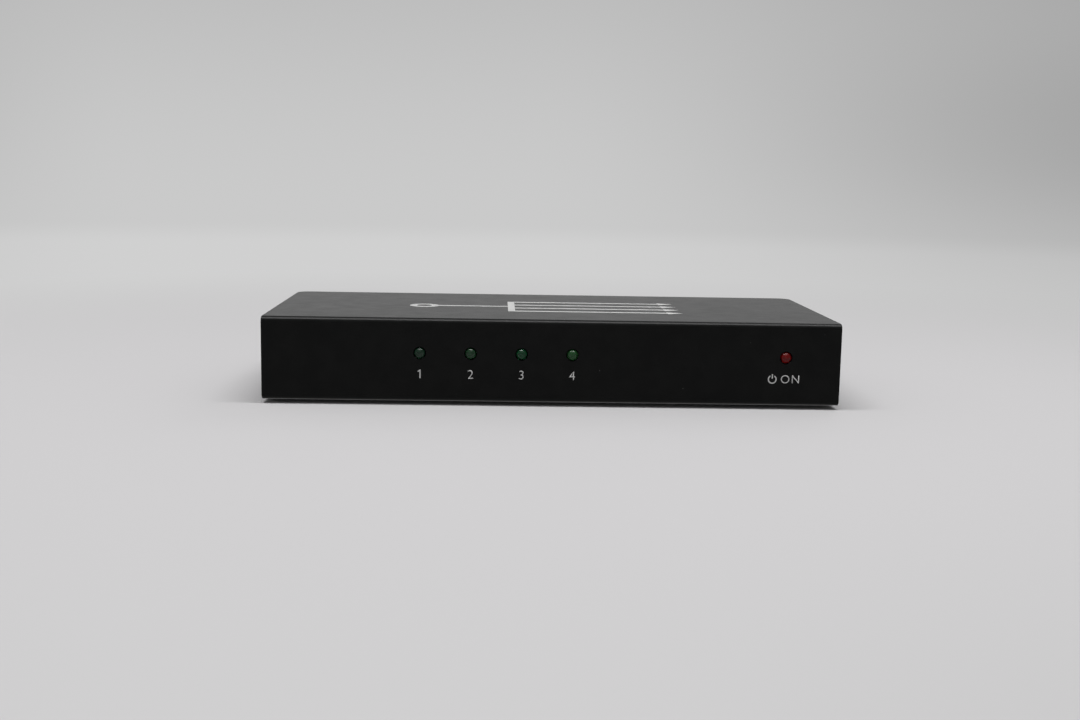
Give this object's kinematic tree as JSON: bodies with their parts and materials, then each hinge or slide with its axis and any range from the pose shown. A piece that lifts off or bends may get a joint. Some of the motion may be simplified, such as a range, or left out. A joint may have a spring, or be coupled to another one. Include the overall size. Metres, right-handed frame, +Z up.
{
  "type": "hdmi splitter",
  "caption": "Flat black folded-steel box with a row of small round indicator lights on the front, and flat video sockets and a round power jack in the rear wall.",
  "frame": {"origin": "on the table, under the middle of the box", "axes": "+X to the right and +Y to the rear when the lights face the viewer, +Z up; the sockets are in the +Y wall"},
  "size_m": [0.1484, 0.0666, 0.0224],
  "materials": {
    "cover_paint": "satin powder coat",
    "frame_paint": "satin powder coat",
    "foot_rubber": "matte",
    "black_screws": "black oxide",
    "board_laminate": "solder mask",
    "plated_steel": "plated",
    "socket_plating": "thin pale gold plating",
    "core_plastic": "moulded",
    "contact_gold": "gold plated",
    "jack_plastic": "moulded",
    "contact_metal": "nickel plated",
    "green_lens": "tinted epoxy, unlit",
    "red_lens": "tinted epoxy",
    "tinned_wire": "tinned",
    "chip_epoxy": "moulded epoxy",
    "pad_rubber": "soft",
    "sink_aluminium": "extruded",
    "ferrite": "sintered",
    "can_aluminium": "drawn"
  },
  "bodies": {
    "root": {"wrap_cover": "cover_paint", "rear_frame": "frame_paint", "rubber_feet": "foot_rubber", "case_screws": "black_screws", "circuit_board": "board_laminate", "board_spacers": "plated_steel", "board_screws": "plated_steel", "input_socket_shell": "socket_plating", "input_socket_core": "core_plastic", "input_socket_contacts": "contact_gold", "output_socket_1_shell": "socket_plating", "output_socket_1_core": "core_plastic", "output_socket_1_contacts": "contact_gold", "output_socket_2_shell": "socket_plating", "output_socket_2_core": "core_plastic", "output_socket_2_contacts": "contact_gold", "output_socket_3_shell": "socket_plating", "output_socket_3_core": "core_plastic", "output_socket_3_contacts": "contact_gold", "output_socket_4_shell": "socket_plating", "output_socket_4_core": "core_plastic", "output_socket_4_contacts": "contact_gold", "dc_jack_housing": "jack_plastic", "dc_jack_center_pin": "contact_metal", "dc_jack_spring_contact": "contact_metal", "dc_jack_switch_contact": "contact_metal", "output_led_1": "green_lens", "output_led_2": "green_lens", "output_led_3": "green_lens", "output_led_4": "green_lens", "power_led": "red_lens", "led_leads": "tinned_wire", "splitter_chip": "chip_epoxy", "splitter_chip_leads": "tinned_wire", "thermal_pad": "pad_rubber", "heat_sink": "sink_aluminium", "voltage_regulator": "chip_epoxy", "power_inductor": "ferrite", "inductor_core": "ferrite", "clock_crystal": "plated_steel", "capacitor_cans": "can_aluminium", "capacitor_bases": "jack_plastic", "memory_chip": "chip_epoxy", "power_diode": "chip_epoxy", "surge_arrays": "chip_epoxy", "chip_resistors": "chip_epoxy"}
  },
  "joints": []
}
